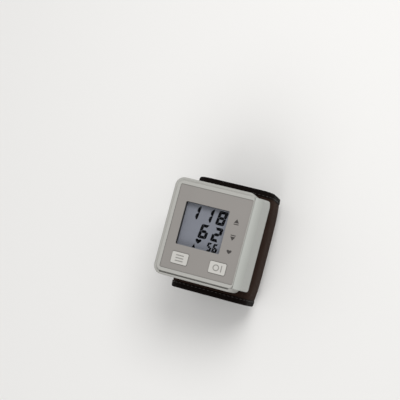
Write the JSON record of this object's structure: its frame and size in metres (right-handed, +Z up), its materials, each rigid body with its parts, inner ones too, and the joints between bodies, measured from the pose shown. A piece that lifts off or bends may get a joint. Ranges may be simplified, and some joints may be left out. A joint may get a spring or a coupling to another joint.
{
  "type": "wrist blood pressure monitor",
  "caption": "Square-faced wrist blood pressure monitor with display, press keys and slide-off battery cover on a closed fabric cuff with a hook-and-loop tail.",
  "frame": {"origin": "under the middle of the case, on the surface that the back of the closed cuff lies on", "axes": "+X to the display's right, where the battery cover is; +Y to the display's top; +Z up out of the display"},
  "size_m": [0.061, 0.0784, 0.0746],
  "materials": {
    "case_plastic": "fine satin, warm light grey-white",
    "cover_plastic": "fine satin, slightly cooler than the case",
    "panel_plastic": "satin warm grey",
    "key_plastic": "satin white",
    "clear_lens": "clear acrylic",
    "display_glass": "bluish grey liquid crystal",
    "black_plastic": "moulded black",
    "white_plastic": "moulded natural white",
    "board_laminate": "green solder mask",
    "steel": "plain zinc-plated steel",
    "tinned_steel": "tin-plated spring steel",
    "black_rubber": "matt elastomer",
    "silicone": "milky silicone hose",
    "cuff_fabric": "dark brown-black brushed loop nylon",
    "lining_fabric": "dark smooth woven nylon",
    "binding_tape": "black woven edge tape",
    "hook_tape": "black hook tape",
    "curler_plastic": "formed grey sheet",
    "bladder_film": "smooth welded film",
    "cell_sleeve": "plain dark printed sleeve"
  },
  "bodies": {
    "root": {"cuff_outer_cover": "cuff_fabric", "cuff_curler": "curler_plastic", "air_bladder": "bladder_film", "cuff_lining": "lining_fabric", "cuff_binding_top": "binding_tape", "cuff_binding_bottom": "binding_tape", "cuff_nozzle": "white_plastic", "cuff_retainer_1": "steel", "cuff_retainer_2": "steel", "front_case": "case_plastic", "rear_case": "case_plastic", "front_panel": "panel_plastic", "display_window": "clear_lens", "case_screw_1": "steel", "case_screw_2": "steel", "case_screw_3": "steel", "case_screw_4": "steel", "lcd_frame": "black_plastic", "lcd_glass": "display_glass", "contact_strip_upper": "black_rubber", "contact_strip_lower": "black_rubber", "circuit_board": "board_laminate", "controller_chip": "black_plastic", "pressure_sensor": "white_plastic", "buzzer": "black_plastic", "memory_switch": "black_plastic", "power_switch": "black_plastic", "pump_motor": "steel", "pump_housing": "white_plastic", "pump_head": "white_plastic", "exhaust_valve": "black_plastic", "air_manifold": "white_plastic", "pump_tube": "silicone", "valve_tube": "silicone", "sensor_tube": "silicone", "cuff_tube": "silicone", "battery_lower": "cell_sleeve", "battery_upper": "cell_sleeve", "battery_spring_lower": "tinned_steel", "battery_spring_upper": "tinned_steel", "battery_contact_positive": "tinned_steel", "battery_contact_negative": "tinned_steel", "battery_contact_link": "tinned_steel"},
    "memory_key": {"memory_button": "key_plastic", "memory_plunger": "white_plastic"},
    "power_key": {"power_button": "key_plastic", "power_plunger": "white_plastic"},
    "side_cover": {"battery_cover": "cover_plastic"},
    "cuff_tail": {"cuff_strap": "cuff_fabric", "hook_patch": "hook_tape"},
    "motor_crank": {"pump_crank": "steel"},
    "valve_stem": {"valve_plunger": "steel"}
  },
  "joints": [
    {"name": "memory_press", "type": "slide", "parent": "root", "child": "memory_key", "axis": [0, 0, -1], "range_m": [0, 0.0005], "stiffness_N_per_m": 600},
    {"name": "power_press", "type": "slide", "parent": "root", "child": "power_key", "axis": [0, 0, -1], "range_m": [0, 0.0005], "stiffness_N_per_m": 600},
    {"name": "cover_slide", "type": "slide", "parent": "root", "child": "side_cover", "axis": [1, 0, 0], "range_m": [0, 0.012]},
    {"name": "tail_hinge", "type": "hinge", "parent": "root", "child": "cuff_tail", "pos_m": [-0.02199, 0, 0.00677], "axis": [0, -1, 0], "range_deg": [0, 90]},
    {"name": "crank_spin", "type": "hinge", "parent": "root", "child": "motor_crank", "pos_m": [-0.0205, 0, 0.0552], "axis": [0, 1, 0], "continuous": true},
    {"name": "valve_press", "type": "slide", "parent": "root", "child": "valve_stem", "axis": [0, 1, 0], "range_m": [0, 0.0006], "stiffness_N_per_m": 300}
  ]
}
